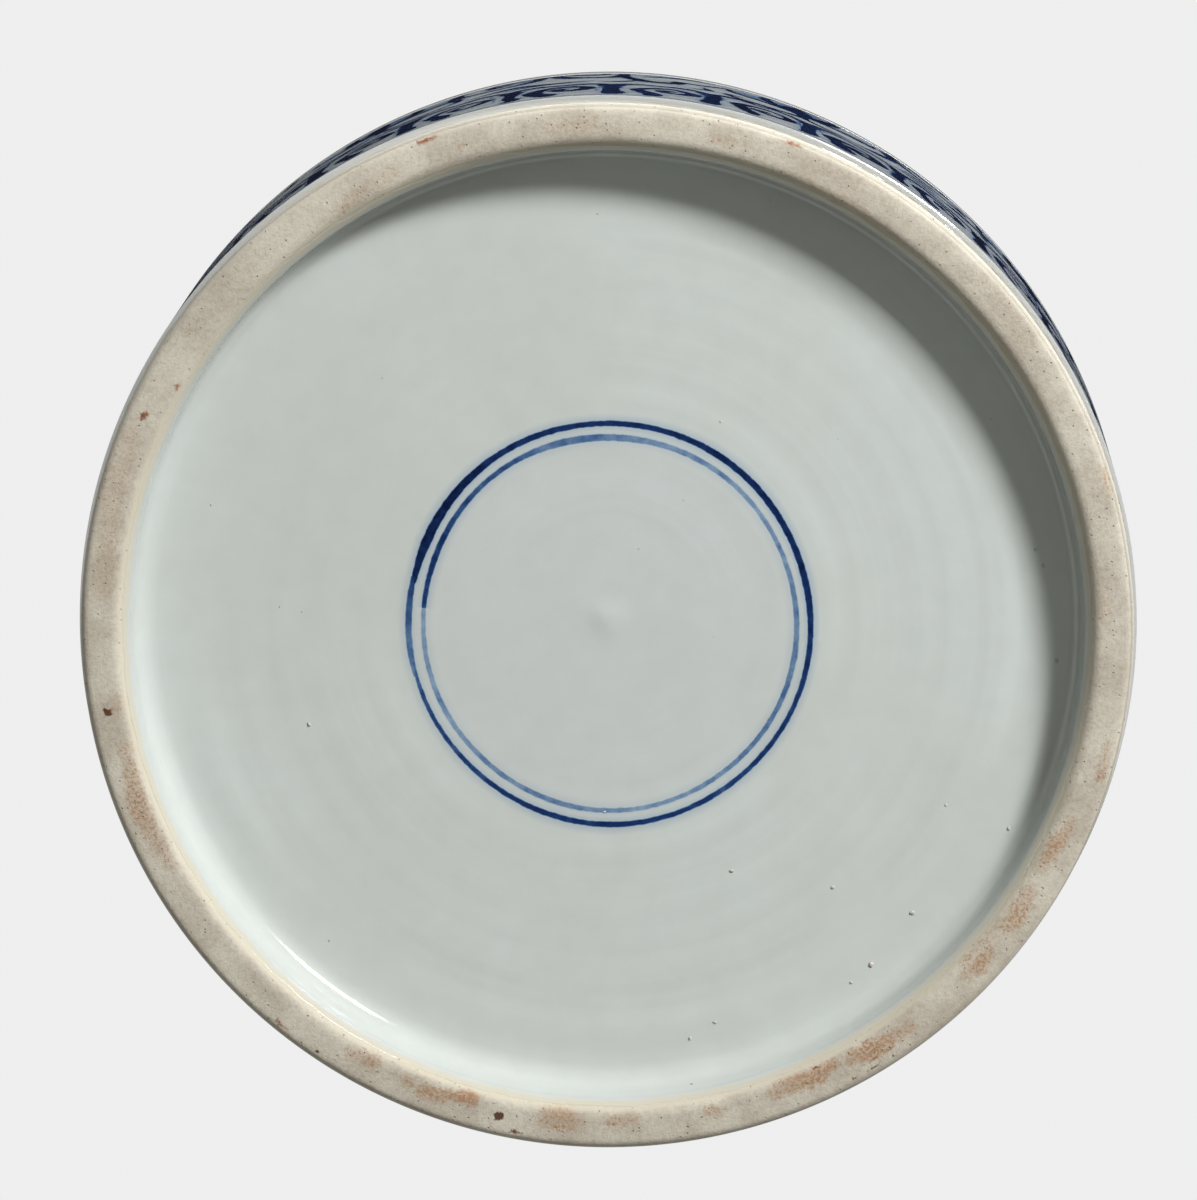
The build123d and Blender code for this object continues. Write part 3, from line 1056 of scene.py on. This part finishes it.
def floor_paint(name, let_through):
    """Matt pale paint that turns into the backdrop's even tone far away and isn't seen from below.
    It lets a share of the lamps' light through."""
    paint, tree = new_finish(name)
    matt = node(tree, "BsdfPrincipled", {"Base Color": (0.8, 0.8, 0.8, 1), "Roughness": 0.8})
    even = node(tree, "Emission", {"Color": pale_tone})
    clear = node(tree, "BsdfTransparent")
    place = node(tree, "TexCoord").outputs["Object"]
    away = node(tree, "VectorMath", {0: place}, operation="LENGTH").outputs["Value"]
    path = node(tree, "LightPath")
    eye = path.outputs["Is Camera Ray"]
    far = times(between(away, 0.15, 0.6), eye)
    upper = node(tree, "MixShader", {0: far, 1: matt.outputs[0], 2: even.outputs[0]})
    unseen = times(node(tree, "NewGeometry").outputs["Backfacing"], eye)
    unseen = scaled(path.outputs["Is Shadow Ray"], let_through, unseen)
    shown = node(tree, "MixShader", {0: unseen, 1: upper.outputs[0], 2: clear.outputs[0]})
    node(tree, "OutputMaterial", {"Surface": shown.outputs[0]})
    return paint


def floor_ring(name, inner, outer, paint, drop=0.0):
    """A flat ring of floor. Each edge is a radius and the middle that it runs round."""
    angle = 2 * pi * np.arange(floor_sides) / floor_sides
    circle = np.stack([np.cos(angle), np.sin(angle), 0 * angle], 1)
    edges = [circle * radius + (*middle, -drop) for radius, middle in (inner, outer)]
    points = np.concatenate(edges) * mm
    i, j = round_ring(floor_sides)
    faces = np.stack([i, i + floor_sides, j + floor_sides, j], 1)
    mesh = bpy.data.meshes.new(name)
    mesh.from_pydata(points.tolist(), [], faces.tolist())
    mesh.materials.append(paint)
    ring = in_scene(name, mesh)
    return ring


floor_hole = foot_radius + floor_gap, (0, 0)
foot_edge = foot_radius - edge_under_foot, ring_shift
under_foot = foot_radius - lip_under_foot, ring_shift
floor_ring("floor", floor_hole, (floor_reach, (0, 0)), floor_paint("pale_floor", 0.0))
edge_paint = floor_paint("pale_floor_edge", edge_lets_through)
floor_edge = floor_ring("floor_edge", foot_edge, floor_hole, edge_paint)
floor_lip = floor_ring("floor_lip", under_foot, foot_edge, floor_paint("pale_floor_lip", 1.0), lip_drop)
floor_edge.visible_diffuse = floor_lip.visible_diffuse = floor_lip.visible_glossy = False

# The backdrop is the same pale tone whichever way the camera looks. Reflections show it too, but
# for a dim patch straight overhead and a dim half below the horizon, so that they don't veil the
# painting where the wall is seen edge on, and the cove of the recess.
dim_tone = (0.01, 0.01, 0.01, 1)
world = bpy.data.worlds.new("studio")
world.use_nodes = True
tree = world.node_tree
tree.nodes.clear()
path = node(tree, "LightPath")
height = part_of(node(tree, "TexCoord").outputs["Generated"], "Z")
overhead = between(height, cos(radians(36)), cos(radians(16)))
beneath = between(height, -cos(radians(88)), -cos(radians(66)))
reflected = mixed(larger(overhead, beneath), pale_tone, dim_tone)
from_below = mixed(between(height, -1.0, -0.25), (0.325, 0.325, 0.305, 1), (0.07, 0.07, 0.06, 1))
daylight = mixed(between(height, -0.2, 0.3), from_below, (0.5, 0.5, 0.5, 1))
glossy = mixed(path.outputs["Is Glossy Ray"], daylight, reflected)
seen = larger(path.outputs["Is Camera Ray"], path.outputs["Is Transmission Ray"])
level = mixed(seen, glossy, pale_tone)
node(tree, "OutputWorld", {"Surface": node(tree, "Background", {"Color": level}).outputs[0]})
bpy.context.scene.world = world


def softbox(name, round_from_x, up_from_floor, away, size, watts):
    """A square lamp that faces the box and doesn't show itself, placed by two angles in degrees."""
    lamp = bpy.data.lights.new(name, "AREA")
    lamp.size = size
    lamp.energy = watts
    holder = in_scene(name, lamp)
    turn, rise = radians(round_from_x), radians(up_from_floor)
    place = Vector((cos(turn) * cos(rise), sin(turn) * cos(rise), sin(rise))) * away
    holder.location = place
    holder.rotation_euler = (-place).to_track_quat("-Z", "Y").to_euler()
    holder.visible_camera = False


softbox("key_below", round_from_x=-48.7, up_from_floor=-33, away=1.1, size=0.22, watts=15.3)
softbox("key_above", round_from_x=-56, up_from_floor=22, away=1.5, size=0.5, watts=21.5)

# The camera looks up at the base, tilted so that the wall on the side of -Y just shows.
tilt = radians(6.6)
lean_x, lean_y = 0.156, -0.988
distance = 1.17
frame_height = 0.13296
film = 36
back = Vector((sin(tilt) * lean_x, sin(tilt) * lean_y, -cos(tilt))).normalized()
up = Vector((0, -1, 0))
up = (up - back * up.dot(back)).normalized()
right = up.cross(back)
aim = Vector((-0.94 * mm, -2.77 * mm, 0))
camera_data = bpy.data.cameras.new("camera")
camera_data.lens = film * distance / frame_height
camera_data.sensor_width = film
camera = in_scene("camera", camera_data)
turn = Matrix((right, up, back)).transposed().to_4x4()
camera.matrix_world = Matrix.Translation(aim + back * distance) @ turn
bpy.context.scene.camera = camera
bpy.context.scene.view_settings.view_transform = "Standard"
